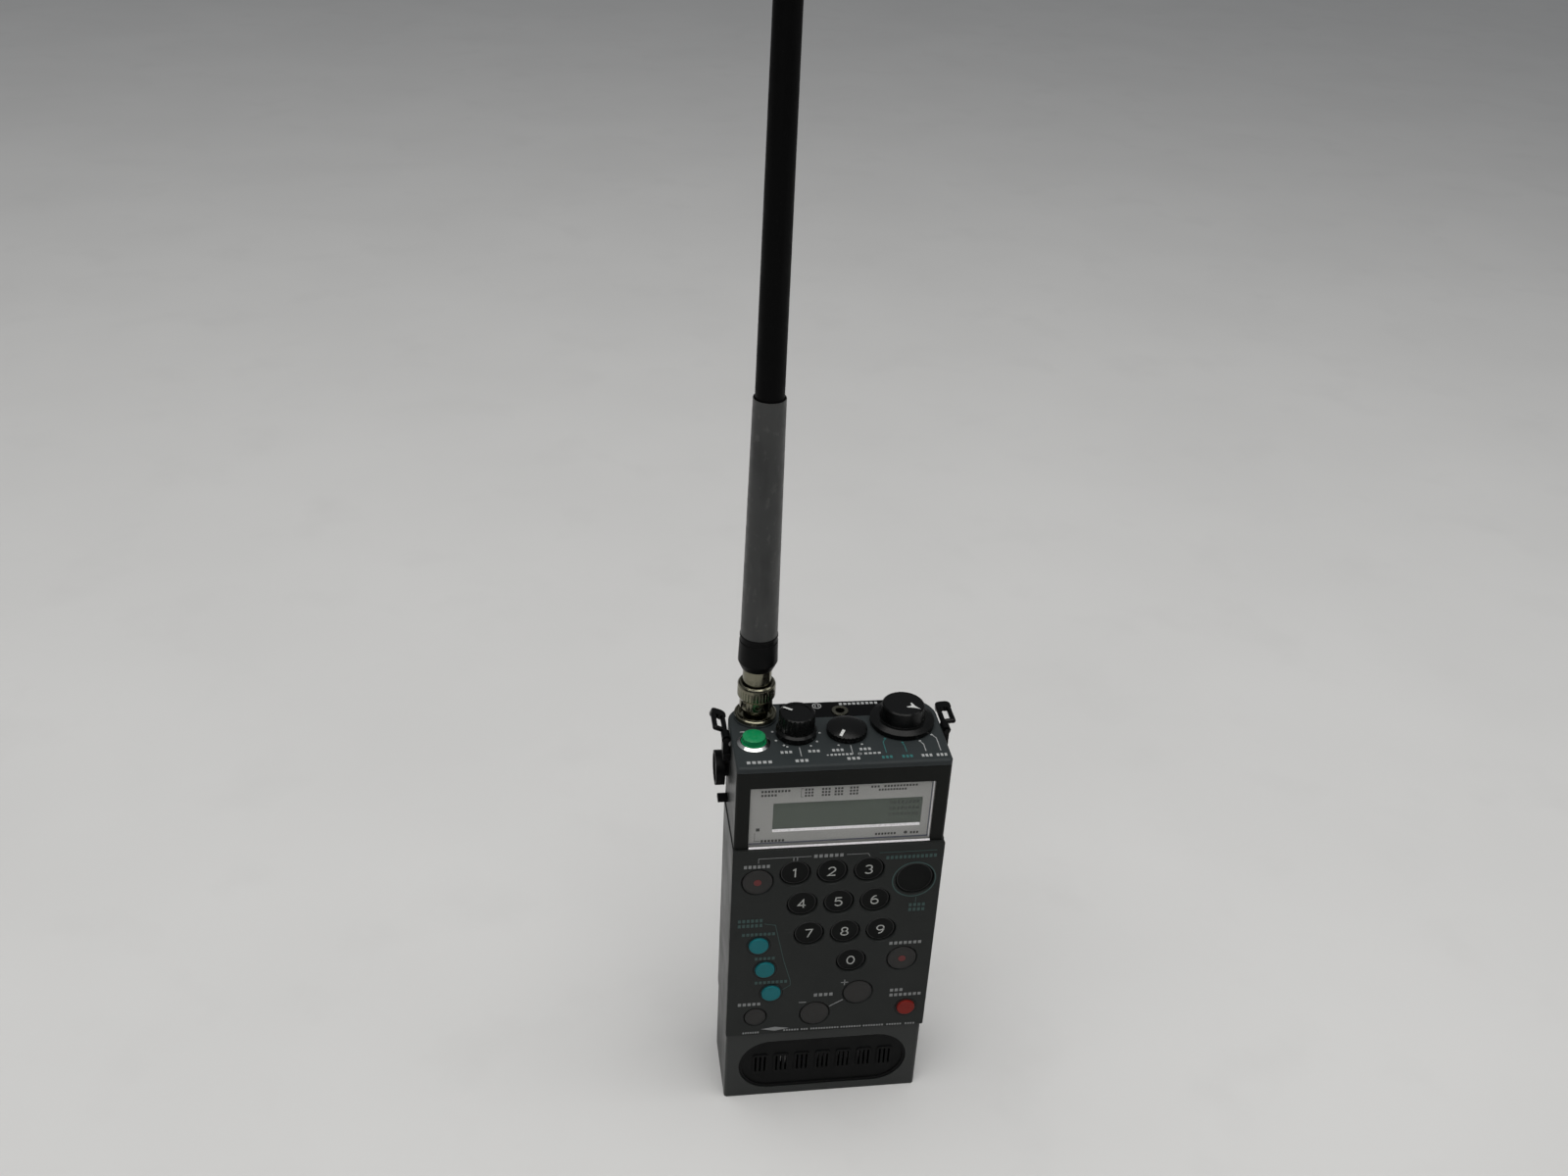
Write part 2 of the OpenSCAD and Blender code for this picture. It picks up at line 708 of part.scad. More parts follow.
module antenna_nut() {
    r = nut_d / 2;
    knurl_h = knurl_z1 - knurl_z0;
    color("#a39c86") at(SOCKET) difference() {
        union() {
            translate([0, 0, nut_z0]) cylinder(r = skirt_r, h = knurl_z0 - nut_z0 + 0.6);
            translate([0, 0, knurl_z0]) cylinder(r1 = r - 0.5, r2 = r, h = 1);
            translate([0, 0, knurl_z0 + 1 - eps]) cylinder(r = r, h = knurl_h - 2.2);
            translate([0, 0, knurl_z1 - 1.2 - 2 * eps]) cylinder(r1 = r, r2 = r - 0.25, h = 0.7);
            translate([0, 0, knurl_z1 - 0.5 - 3 * eps]) cylinder(r1 = r - 0.25, r2 = r - 0.7, h = 0.5);
        }
        flutes(36, r + 0.12, 0.32, knurl_z0 - 1, knurl_z0 + 4.4);
        translate([0, 0, nut_z0 - 1]) cylinder(r = nut_bore, h = knurl_z1 - nut_z0 - 2.6);
        translate([0, 0, knurl_z1 - 5]) cylinder(r = neck_r + run, h = 6);
        translate([0, 0, knurl_z1 - 1.6]) cylinder(r = 6.05, h = 3);
        // the ends of the bayonet slots
        along_y(0, lug_z, -9, 9, 1.15);
    }
}

module antenna_plug() {
    color("#a8a18c") at(SOCKET) {
        difference() {
            union() {
                translate([0, 0, 176]) cylinder(r = 4, h = 9);
                translate([0, 0, 183.2]) cylinder(r = neck_r + 0.14, h = 0.8);
                translate([0, 0, 183.2]) cylinder(r = neck_r, h = boot_z0 - 183.2);
                translate([0, 0, boot_z0 - eps]) cylinder(r = 4, h = rod_z0 - boot_z0);
            }
            translate([0, 0, 175]) cylinder(r = 3.4, h = 7);
        }
    }
}

module antenna_boot() {
    color("#17181a") at(SOCKET) difference() {
        union() {
            translate([0, 0, boot_z0]) cylinder(r1 = 6.2, r2 = 7.5, h = 3);
            translate([0, 0, boot_z0 + 3 - eps]) cylinder(r1 = 7.5, r2 = 7.15, h = boot_z1 - boot_z0 - 3);
        }
        // a fine step below the lip
        translate([0, 0, boot_z1 - 3.2]) ring_groove(7.02, 8, 0.4);
        translate([0, 0, boot_z0 - 1]) cylinder(r = 4, h = rod_z0 - boot_z0 + 1);
        translate([0, 0, rod_z0 - eps]) cylinder(r = 5.6, h = 20);
    }
}

function rod_radius(z) = 5.6 - (z - rod_z0) * (5.6 - tip_r) / (tip_z - rod_z0);

module antenna_sleeve() {
    color("#84868a", 0.8) at(SOCKET) difference() {
        translate([0, 0, boot_z1]) cylinder(r1 = 6.95, r2 = 5.85, h = sleeve_top - boot_z1);
        translate([0, 0, boot_z1 - 1]) cylinder(r = rod_radius(boot_z1 - 1) + eps, h = sleeve_top - boot_z1 + 2);
    }
}

module antenna_rod() {
    color("#141516") at(SOCKET) {
        translate([0, 0, rod_z0]) cylinder(r = 5.6, h = boot_z1 - rod_z0);
        translate([0, 0, boot_z1 - eps])
            cylinder(r1 = rod_radius(boot_z1), r2 = tip_r, h = tip_z - tip_r - boot_z1);
        translate([0, 0, tip_z - tip_r]) sphere(r = tip_r);
    }
}

// ---- sides ----

module side_button() {
    color("#151617") {
        difference() {
            along_x(BUTTON[0], BUTTON[1], -45.7, -core_hw - 1.6, button_r);
            along_x(BUTTON[0], BUTTON[1], -46, -45.1, button_r - 1.2);
        }
        along_x(BUTTON[0], BUTTON[1], -45, -37, 3.5);
        along_x(BUTTON[0], BUTTON[1], -37.6, -36.8, 4.2);
    }
}

module side_switch() {
    color("#151617") {
        box([-44.4, SWITCH[0] - 1.8, SWITCH[1] - 0.9], [-40.6, SWITCH[0] + 1.8, SWITCH[1] + 0.9]);
        box([-41, SWITCH[0] - 1.8, SWITCH[1] - 0.8], [-37, SWITCH[0] + 1.8, SWITCH[1] + 0.8]);
        box([-37.6, SWITCH[0] - 2.8, SWITCH[1] - 1.8], [-36.8, SWITCH[0] + 2.8, SWITCH[1] + 1.8]);
    }
}

// Foot on the case side with an arm that holds the ring's pin.
module strap_lug() {
    x = RING_PIVOT[0];
    z = RING_PIVOT[1];
    difference() {
        union() {
            box([core_hw, -1.2, z - 9.6], [x + 1, 4, z - 6.4]);
            box([x - 1, -0.8, z - 7], [x + 1.2, 3.6, z]);
            along_y(x, z, -0.8, 3.6, 1.7);
        }
        along_y(x, z, -2, 5, wire_r - 0.3 + run);
    }
}

module strap_lugs() {
    color("#17181a") {
        strap_lug();
        mirror([1, 0, 0]) strap_lug();
    }
}

// A strap ring: a slotted eye with a pin, turned up by lean about that pin.
module strap_ring(lean) {
    color("#121314") translate([RING_PIVOT[0], 0, RING_PIVOT[1]]) rotate([0, -lean, 0]) {
        along_y(0, 0, -1.8, ring_y0, wire_r - 0.3);
        along_y(0, 0, -1.8, -1.1, wire_r + 0.1);
        along_y(0, 0, ring_y0 - wire_r, ring_y1 + eps, wire_r);
        along_y(ring_out, 0, ring_y0, ring_y1 + eps, wire_r);
        along_x(ring_y0, 0, 0, ring_out, wire_r);
        translate([ring_out, ring_y0, 0]) sphere(r = wire_r);
        // the broad end, rounded at its far corners
        r = 2;
        box([-wire_r, ring_y1, -wire_r], [ring_out + wire_r, ring_end - r, wire_r]);
        box([r - wire_r, ring_y1, -wire_r], [ring_out + wire_r - r, ring_end, wire_r]);
        for (x = [r - wire_r, ring_out + wire_r - r])
            translate([x, ring_end - r, -wire_r]) cylinder(r = r, h = 2 * wire_r);
    }
}

module strap_loop_right() {
    strap_ring(lean_right);
}

module strap_loop_left() {
    mirror([1, 0, 0]) strap_ring(lean_left);
}

// ---- battery ----

module battery_door() {
    color("#272a2c") {
        intersection() {
            difference() {
                linear_extrude(body_h) plan(core_hw, front_y, rear_y, front_r, rear_r);
                translate([0, 0, -1]) linear_extrude(body_h + 2)
                    plan(core_hw - 1.8, front_y, rear_y - 1.8, front_r, rear_r - 1.8);
            }
            box([-door_hw, 10, door_z0], [door_hw, rear_y + 1, door_z1]);
        }
        for (s = [-1, 1]) along_x(HINGE[0], HINGE[1], s > 0 ? door_hw - 2 : -32, s > 0 ? 32 : -door_hw + 2, hinge_r);
    }
}

function cell_x(i) = (i - 1.5) * (cell_d + 0.2);

module battery_cells() {
    color("#2e5f8a") for (i = [0:3]) translate([cell_x(i), cell_y, cell_z]) {
        cylinder(r = cell_d / 2, h = cell_l - 1.2);
        cylinder(r = 2.7, h = cell_l);
    }
}

module battery_contacts() {
    color("#b9b08a") for (i = [0:3]) translate([cell_x(i), cell_y, 0]) {
        translate([-5, -5, bay_z0 + 0.1]) cube([10, 10, 0.6]);
        translate([0, 0, bay_z0 + 0.6]) cylinder(r1 = 4, r2 = 2.5, h = cell_z - bay_z0 - 0.6);
        translate([-5, -5, cell_z + cell_l]) cube([10, 10, 0.6]);
    }
}

front_case();
keypad_panel();
rear_case();
top_panel();
jack_strip();
speaker_grille();
lcd_window();
lcd_bezel();
lcd_panel();
speaker();
key_mat();
key_board();
main_board();
tuner_shield();
ferrite_antenna();
case_screws();
power_ring();
power_button();
power_switch();
volume_knob();
squelch_knob();
control_pots();
band_knob();
band_switch();
earphone_jack();
aux_antenna_jack();
antenna_socket();
antenna_nut();
antenna_plug();
antenna_boot();
antenna_sleeve();
antenna_rod();
side_button();
side_switch();
strap_lugs();
strap_loop_left();
strap_loop_right();
battery_door();
battery_cells();
battery_contacts();
for (k = KEYS) key(k);
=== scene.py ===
"""Looks of the handheld aviation radio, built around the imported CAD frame. Everything is in metres."""
import json
import math
import bmesh
import bpy
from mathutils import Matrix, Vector


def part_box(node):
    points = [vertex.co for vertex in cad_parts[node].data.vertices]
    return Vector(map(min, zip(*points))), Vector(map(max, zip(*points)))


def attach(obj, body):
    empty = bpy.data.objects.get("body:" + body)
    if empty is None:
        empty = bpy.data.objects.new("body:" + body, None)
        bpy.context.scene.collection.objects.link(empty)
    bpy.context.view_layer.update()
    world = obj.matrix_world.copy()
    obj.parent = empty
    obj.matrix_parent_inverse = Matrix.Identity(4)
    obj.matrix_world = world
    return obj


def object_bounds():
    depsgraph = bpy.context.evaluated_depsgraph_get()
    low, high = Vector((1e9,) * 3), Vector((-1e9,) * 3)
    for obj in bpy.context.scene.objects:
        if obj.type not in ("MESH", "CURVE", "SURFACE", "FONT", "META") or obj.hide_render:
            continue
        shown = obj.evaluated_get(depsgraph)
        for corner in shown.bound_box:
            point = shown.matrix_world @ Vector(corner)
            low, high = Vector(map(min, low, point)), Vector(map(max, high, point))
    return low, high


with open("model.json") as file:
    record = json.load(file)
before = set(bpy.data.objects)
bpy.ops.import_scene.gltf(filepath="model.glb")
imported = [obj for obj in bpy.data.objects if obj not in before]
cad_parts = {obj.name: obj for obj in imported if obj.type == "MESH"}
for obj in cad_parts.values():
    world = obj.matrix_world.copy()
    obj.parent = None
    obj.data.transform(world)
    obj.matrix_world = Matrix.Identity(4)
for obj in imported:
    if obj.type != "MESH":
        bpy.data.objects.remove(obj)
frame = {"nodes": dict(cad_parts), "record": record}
CAD_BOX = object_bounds()
MM = 0.001
RECORD = frame["record"]
NODES = frame["nodes"]
BODY_OF = {n: b for b, members in RECORD["behaviour"]["bodies"].items() for n in members}
scene = bpy.context.scene


def low(node):
    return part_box(node)[0] / MM


def high(node):
    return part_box(node)[1] / MM


def middle(node):
    return (low(node) + high(node)) / 2


# Planes that the printing lies on, in mm
RING_HEIGHT = 1.1      # how far the power ring stands above the top panel
KEYPAD_Y = low("keypad_panel").y
TOP_Z = high("power_ring").z - RING_HEIGHT

# Sizes of the printing, in mm
INK = 0.05             # thickness of printed ink
LIFT = 0.02            # how far ink stands off its surface
NUMERAL_WIDTH = 0.48   # line width of the numerals
MARK_R = 1.5           # radius of the red mark on a grey key
RIM_WIDTH = 0.35       # width of a key's dark rim, painted shade standing for the shadowed gap around it
RIM_GAP = 0.6          # from a coloured cap's edge out to its rim of painted shade
DIAL_R = 9.2           # from the volume and squelch shafts out to their end dots
BAND_DIAL_R = 13.3     # from the band selector's shaft out to its position dots


# ---------------------------------------------------------------- camera, light and floor

def add_camera():
    data = bpy.data.cameras.new("camera")
    data.sensor_width = 36
    data.lens = 35.89
    data.clip_end = 50
    camera = bpy.data.objects.new("camera", data)
    camera.location = (-0.1017, -0.4756, 0.5160)
    camera.rotation_euler = [math.radians(a) for a in (59.72, -2.70, -7.76)]
    scene.collection.objects.link(camera)
    scene.camera = camera


def add_area_light(name, place, target, size, watts, tone=(1, 1, 1)):
    data = bpy.data.lights.new(name, "AREA")
    data.shape = "RECTANGLE"
    data.size, data.size_y = size
    data.energy = watts
    data.color = tone
    lamp = bpy.data.objects.new(name, data)
    lamp.location = place
    aim = Vector(target) - Vector(place)
    lamp.rotation_euler = aim.to_track_quat("-Z", "Y").to_euler()
    scene.collection.objects.link(lamp)


def add_studio():
    world = bpy.data.worlds.new("studio")
    world.use_nodes = True
    tree = world.node_tree
    where, split = tree.nodes.new("ShaderNodeTexCoord"), tree.nodes.new("ShaderNodeSeparateXYZ")
    tint = tree.nodes.new("ShaderNodeMix")
    tint.data_type = "RGBA"
    tint.inputs["A"].default_value = (0.16, 0.165, 0.17, 1)
    tint.inputs["B"].default_value = (1.10, 1.12, 1.15, 1)
    tree.links.new(where.outputs["Generated"], split.inputs[0])
    tree.links.new(split.outputs["Z"], tint.inputs["Factor"])
    tree.links.new(tint.outputs["Result"], tree.nodes["Background"].inputs["Color"])
    tree.nodes["Background"].inputs["Strength"].default_value = 0.32
    scene.world = world
    add_area_light("ceiling", (-0.1, -0.3, 1.7), (0, 0, 0.05), (2.2, 1.6), 27, (1, 0.98, 0.95))
    add_area_light("front_fill", (-0.9, -1.4, 1.1), (0, 0, 0.1), (1.0, 0.8), 3, (0.95, 0.98, 1))
    add_area_light("right_fill", (1.3, -0.3, 0.9), (0, 0, 0.15), (0.6, 1.0), 2)
    scene.view_settings.view_transform = "Standard"

    mesh = bpy.data.meshes.new("floor")
    edge = 6
    corners = [(-edge, -edge, 0), (edge, -edge, 0), (edge, edge, 0), (-edge, edge, 0)]
    mesh.from_pydata(corners, [], [(0, 1, 2, 3)])
    floor = bpy.data.objects.new("floor", mesh)
    floor.location.z = -0.0002
    scene.collection.objects.link(floor)
    paint = Paint("floor_card", (0.62, 0.62, 0.615), 0.75)
    paint.mottle(6, 0.03)
    mesh.materials.append(paint.done())


# ---------------------------------------------------------------- materials

class Paint:
    """A material whose colour, roughness and relief are built up from procedural layers."""

    def __init__(self, name, colour, roughness, metallic=0.0):
        self.material = bpy.data.materials.new(name)
        self.material.use_nodes = True
        self.tree = self.material.node_tree
        self.shader = self.tree.nodes["Principled BSDF"]
        self.shader.inputs["Metallic"].default_value = metallic
        self.where = self.node("ShaderNodeTexCoord").outputs["Object"]
        self.colour = None
        self.plain = (*colour, 1)
        self.rough = roughness
        self.rough_link = None
        self.bump_normal = None

    def node(self, kind, **values):
        made = self.tree.nodes.new(kind)
        for key, value in values.items():
            setattr(made, key, value)
        return made

    def noise(self, per_metre, detail=3.0, stretch=(1, 1, 1)):
        mapping = self.node("ShaderNodeMapping")
        mapping.inputs["Scale"].default_value = stretch
        texture = self.node("ShaderNodeTexNoise")
        texture.inputs["Scale"].default_value = per_metre
        texture.inputs["Detail"].default_value = detail
        self.tree.links.new(self.where, mapping.inputs["Vector"])
        self.tree.links.new(mapping.outputs["Vector"], texture.inputs["Vector"])
        return texture.outputs["Fac"]

    def ramp(self, factor, start, end, low_value=0.0, high_value=1.0):
        made = self.node("ShaderNodeMapRange")
        made.inputs["From Min"].default_value = start
        made.inputs["From Max"].default_value = end
        made.inputs["To Min"].default_value = low_value
        made.inputs["To Max"].default_value = high_value
        self.tree.links.new(factor, made.inputs["Value"])
        return made.outputs["Result"]

    def times(self, a, b):
        made = self.node("ShaderNodeMath", operation="MULTIPLY")
        for socket, value in zip(made.inputs, (a, b)):
            if isinstance(value, (int, float)):
                socket.default_value = value
            else:
                self.tree.links.new(value, socket)
        return made.outputs[0]

    def blend(self, factor, other):
        """Lays another colour over what is there, where factor is 1."""
        made = self.node("ShaderNodeMix", data_type="RGBA")
        self.tree.links.new(factor, made.inputs["Factor"])
        if self.colour is None:
            made.inputs["A"].default_value = self.plain
        else:
            self.tree.links.new(self.colour, made.inputs["A"])
        made.inputs["B"].default_value = (*other, 1)
        self.colour = made.outputs["Result"]

    def mottle(self, per_metre, amount, stretch=(1, 1, 1)):
        """Slow change of tone, by that share up and down."""
        lighter = [c * (1 + amount) for c in self.plain[:3]]
        darker = [c * (1 - amount) for c in self.plain[:3]]
        self.blend(self.ramp(self.noise(per_metre, 4, stretch), 0.35, 0.65), lighter)
        self.blend(self.ramp(self.noise(per_metre * 2.7, 4, stretch), 0.55, 0.75, 0, 0.7), darker)
        return self

    def specks(self, per_metre, tone, share=0.25):
        """Fine dust or flecks."""
        self.blend(self.ramp(self.noise(per_metre, 1), 0.70, 0.76, 0, share), tone)
        return self

    def edge_mask(self, width):
        bevel = self.node("ShaderNodeBevel", samples=4)
        bevel.inputs["Radius"].default_value = width
        dot = self.node("ShaderNodeVectorMath", operation="DOT_PRODUCT")
        self.tree.links.new(bevel.outputs["Normal"], dot.inputs[0])
        self.tree.links.new(self.node("ShaderNodeNewGeometry").outputs["Normal"], dot.inputs[1])
        return self.ramp(dot.outputs["Value"], 0.97, 0.80)

    def worn_edges(self, tone, width=0.0004, share=0.6):
        """Edges rubbed to a lighter tone, unevenly."""
        patchy = self.ramp(self.noise(400, 4), 0.42, 0.62)
        self.blend(self.times(self.times(self.edge_mask(width), patchy), share), tone)
        return self

    def soft_edges(self, width=0.0003):
        """Rounds the shading over sharp edges."""
        bevel = self.node("ShaderNodeBevel", samples=4)
        bevel.inputs["Radius"].default_value = width
        self.bump_normal = bevel.outputs["Normal"]
        return self

    def uneven_gloss(self, per_metre, amount):
        glossy, matt = self.rough - amount, self.rough + amount
        self.rough_link = self.ramp(self.noise(per_metre, 5), 0.3, 0.7, glossy, matt)
        return self

    def relief(self, height, depth):
        """Bump from a 0 to 1 height, of that depth in metres."""
        made = self.node("ShaderNodeBump")
        made.inputs["Strength"].default_value = 1.0
        made.inputs["Distance"].default_value = depth
        self.tree.links.new(height, made.inputs["Height"])
        if self.bump_normal is not None:
            self.tree.links.new(self.bump_normal, made.inputs["Normal"])
        self.bump_normal = made.outputs["Normal"]
        return self

    def grain(self, per_metre, depth):
        """Bump of a moulded or cast surface."""
        return self.relief(self.noise(per_metre, 2), depth)

    def set(self, **values):
        for key, value in values.items():
            self.shader.inputs[key.replace("_", " ")].default_value = value
        return self

    def done(self):
        if self.colour is None:
            self.shader.inputs["Base Color"].default_value = self.plain
        else:
            self.tree.links.new(self.colour, self.shader.inputs["Base Color"])
        if self.rough_link is None:
            self.shader.inputs["Roughness"].default_value = self.rough
        else:
            self.tree.links.new(self.rough_link, self.shader.inputs["Roughness"])
        if self.bump_normal is not None:
            self.tree.links.new(self.bump_normal, self.shader.inputs["Normal"])
        return self.material


def moulding(name, colour, roughness, grain=2200, depth=0.00003, wear=0.35, shine=0.3):
    """Textured moulded plastic with rubbed edges and a little dust."""
    paint = Paint(name, colour, roughness)
    paint.mottle(35, 0.12)
    paint.specks(1400, [c * 1.9 + 0.02 for c in colour], 0.22)
    paint.worn_edges([c * 2.2 + 0.03 for c in colour], 0.0005, wear)
    paint.soft_edges(0.00035)
    paint.grain(grain, depth)
    paint.uneven_gloss(60, 0.08)
    paint.set(Specular_IOR_Level=shine)
    return paint.done()


def satin(name, colour, roughness, wear=0.2, coat=0.0, shine=0.2):
    """Smooth moulded plastic such as a key or a knob."""
    paint = Paint(name, colour, roughness)
    paint.mottle(90, 0.10)
    paint.specks(2500, [c * 1.6 + 0.015 for c in colour], 0.15)
    paint.worn_edges([c * 1.8 + 0.03 for c in colour], 0.0003, wear)
    paint.soft_edges(0.0002)
    paint.grain(5000, 0.000006)
    paint.uneven_gloss(150, 0.07)
    paint.set(Coat_Weight=coat, Coat_Roughness=0.15, Specular_IOR_Level=shine)
    return paint.done()


def metal(name, colour, roughness, stain=None, share=0.5):
    """Plated or turned metal with fine marks and patchy stain."""
    paint = Paint(name, colour, roughness, metallic=1.0)
    paint.mottle(120, 0.10)
    if stain:
        paint.blend(paint.ramp(paint.noise(260, 5), 0.50, 0.70, 0, share), stain)
    paint.soft_edges(0.00015)
    paint.relief(paint.noise(1500, 3, (1, 1, 6)), 0.000006)
    paint.uneven_gloss(500, 0.06)
    return paint.done()


def ink(name, colour):
    """Screen-printed ink, worn thin in places."""
    paint = Paint(name, colour, 0.55)
    paint.blend(paint.ramp(paint.noise(1600, 3), 0.50, 0.68, 0, 0.45), [c * 0.45 for c in colour])
    paint.grain(3000, 0.00001)
    return paint.done()


def tube_film():
    """Grey shrink tube, clouded and creased along its length."""
    paint = Paint("tube_film", (0.029, 0.030, 0.0295), 0.42)
    paint.blend(paint.ramp(paint.noise(55, 5, (1, 1, 0.35)), 0.40, 0.66, 0, 0.8), (0.048, 0.049, 0.047))
    paint.blend(paint.ramp(paint.noise(150, 5, (1, 1, 0.25)), 0.52, 0.70, 0, 0.8), (0.016, 0.0165, 0.0165))
    paint.blend(paint.ramp(paint.noise(420, 3, (1, 1, 0.5)), 0.60, 0.72, 0, 0.5), (0.075, 0.075, 0.072))
    paint.relief(paint.noise(140, 4, (1, 1, 0.3)), 0.0003)
    paint.uneven_gloss(220, 0.10)
    paint.set(Coat_Weight=0.2, Coat_Roughness=0.3, Specular_IOR_Level=0.3)
    return paint.done()


def rod_skin():
    """Black rubber sheath with long drawn lines and a few scuffs."""
    paint = Paint("rod_skin", (0.0018, 0.0018, 0.0019), 0.45)
    paint.blend(paint.ramp(paint.noise(260, 4, (1, 1, 0.06)), 0.55, 0.75, 0, 0.5), (0.0045, 0.0045, 0.0048))
    paint.specks(900, (0.015, 0.015, 0.015), 0.2)
    paint.relief(paint.noise(500, 3, (1, 1, 0.08)), 0.00006)
    paint.uneven_gloss(180, 0.1)
    paint.set(Specular_IOR_Level=0.06)
    return paint.done()


def lcd_face():
    """Unlit liquid crystal: grey green with darker and lighter clouds."""
    paint = Paint("lcd_face", (0.094, 0.112, 0.094), 0.40)
    paint.blend(paint.ramp(paint.noise(30, 3, (1, 1, 3)), 0.45, 0.7, 0, 0.6), (0.080, 0.096, 0.079))
    paint.blend(paint.ramp(paint.noise(9, 2), 0.52, 0.62, 0, 0.6), (0.106, 0.125, 0.106))
    paint.relief(paint.noise(700, 2), 0.000001)
    paint.uneven_gloss(40, 0.05)
    paint.set(Specular_IOR_Level=0.1)
    return paint.done()


def clear_window():
    """Clear acrylic: mostly see-through, with a gloss that fine scratches break up."""
    paint = Paint("clear_window", (0.30, 0.31, 0.30), 0.08)
    paint.relief(paint.noise(900, 4, (1, 1, 8)), 0.000002)
    paint.uneven_gloss(300, 0.04)
    paint.set(Alpha=0.05, IOR=1.49)
    material = paint.done()
    material.blend_method = "BLEND"
    return material


def foil():
    """Satin silver print behind the window, faintly clouded."""
    paint = Paint("frame_silver", (0.350, 0.348, 0.335), 0.38, metallic=0.15)
    paint.mottle(25, 0.05)
    paint.specks(1800, (0.22, 0.22, 0.21), 0.2)
    paint.relief(paint.noise(2500, 2), 0.000002)
    paint.uneven_gloss(80, 0.04)
    return paint.done()


MATERIALS = {
    "case_plastic": moulding("case_plastic", (0.0160, 0.0178, 0.0170), 0.38, 2600, 0.000012, 0.3, 0.30),
    "display_face": moulding("display_face", (0.0085, 0.0092, 0.0084), 0.42, 2600, 0.000015, 0.15, 0.08),
    # lighter and bluer than the case plastic though it is the same moulding: painted light falling from above
    "top_plastic": moulding("top_plastic", (0.0205, 0.0250, 0.0262), 0.50, shine=0.2),
    "keypad_plate": moulding("keypad_plate", (0.0130, 0.0146, 0.0138), 0.46, 2600, 0.000015, 0.25, 0.17),
    "black_plastic": satin("black_plastic", (0.0022, 0.0023, 0.0025), 0.36, shine=0.08),
    "knob_plastic": satin("knob_plastic", (0.0022, 0.0024, 0.0024), 0.27, 0.15, 0.05, 0.16),
    "grille_plastic": satin("grille_plastic", (0.0022, 0.0024, 0.0025), 0.5, 0.1, 0.0, 0.1),
    "window": clear_window(),
    "frame_silver": foil(),
    "lcd_glass": lcd_face(),
    "chrome": metal("chrome", (0.66, 0.67, 0.66), 0.18, (0.24, 0.24, 0.23), 0.2),
    # dark olive base: partly the nut's own tarnish, partly painted reflection of the dark case and walls
    # around it
    "aged_nickel": metal("aged_nickel", (0.19, 0.183, 0.135), 0.15, (0.05, 0.046, 0.032), 0.45),
    # dark base: partly the brass's own tone, partly painted shade from inside the jack's hole
    "jack_brass": metal("jack_brass", (0.17, 0.165, 0.13), 0.24, (0.06, 0.055, 0.035), 0.4),
    "tin_plate": metal("tin_plate", (0.45, 0.45, 0.45), 0.35, (0.2, 0.2, 0.2), 0.4),
    "power_green": satin("power_green", (0.0025, 0.200, 0.068), 0.25, 0.1, 0.4, 0.2),
    "key_black": satin("key_black", (0.0040, 0.0045, 0.0043), 0.45, 0.1, shine=0.08),
    "key_grey": satin("key_grey", (0.0290, 0.0280, 0.0270), 0.48, 0.1, shine=0.12),
    "key_teal": satin("key_teal", (0.005, 0.118, 0.135), 0.40, 0.05, 0.1, 0.12),
    "key_red": satin("key_red", (0.165, 0.009, 0.005), 0.40, 0.05, 0.1, 0.12),
    "sleeve_tube": tube_film(),
    "rod_rubber": rod_skin(),
    "black_wire": metal("black_wire", (0.014, 0.014, 0.014), 0.35),
    "circuit_board": satin("circuit_board", (0.012, 0.09, 0.035), 0.35),
    "key_rubber": satin("key_rubber", (0.03, 0.03, 0.03), 0.7),
    "cell_wrap": satin("cell_wrap", (0.02, 0.07, 0.17), 0.3),
}
WHITE_INK = ink("white_ink", (0.20, 0.205, 0.205))
TOP_INK = ink("top_ink", (0.34, 0.35, 0.35))
DIGIT_INK = ink("digit_ink", (0.44, 0.45, 0.43))
POINTER_INK = ink("pointer_ink", (0.55, 0.56, 0.55))
TEAL_INK = ink("teal_ink", (0.018, 0.052, 0.048))
TOP_TEAL_INK = ink("top_teal_ink", (0.020, 0.125, 0.120))
RED_INK = ink("red_ink", (0.11, 0.006, 0.006))
# painted shade: near-black rings standing for the shadow in the gaps and wells around the keys
GAP_SHADE_INK = ink("gap_shade_paint", (0.0022, 0.0024, 0.0023))
DARK_INK = ink("dark_ink", (0.035, 0.035, 0.033))
LCD_INK = ink("lcd_mark", (0.040, 0.049, 0.039))
# painted highlight: near-white standing for the glints along the display frame's ledges and right edge
GLINT_WHITE = ink("painted_glint", (0.86, 0.84, 0.86))
EDGE_BLUE = ink("edge_blue", (0.085, 0.090, 0.120))
OTHER_SLOTS = {"speaker_metal": "tin_plate", "ferrite": "key_rubber", "pot_metal": "tin_plate",
               "contact_metal": "tin_plate"}
OWN_LOOK = {"volume_knob": "knob_plastic", "squelch_knob": "knob_plastic", "band_knob": "knob_plastic",
            "speaker_grille": "grille_plastic"}


def dress_nodes():
    """Gives every CAD node the material of its slot, or a look of its own."""
    for row in RECORD["subparts"]:
        name, slot = row["node"], row["material_slot"]
        look = OWN_LOOK.get(name) or OTHER_SLOTS.get(slot, slot)
        node = NODES[name]
        node.data.materials.clear()
        node.data.materials.append(MATERIALS[look])
    # the moulding around the display is darker than the rest of the front
    front = NODES["front_case"]
    front.data.materials.append(MATERIALS["display_face"])
    lowest = high("keypad_panel").z * MM - 0.0005
    rearmost = CAD_BOX[0][1] + 0.003
    for face in front.data.polygons:
        spot = front.matrix_world @ face.center
        if spot.z > lowest and spot.y < rearmost:
            face.material_index = 1


# ---------------------------------------------------------------- printed marks

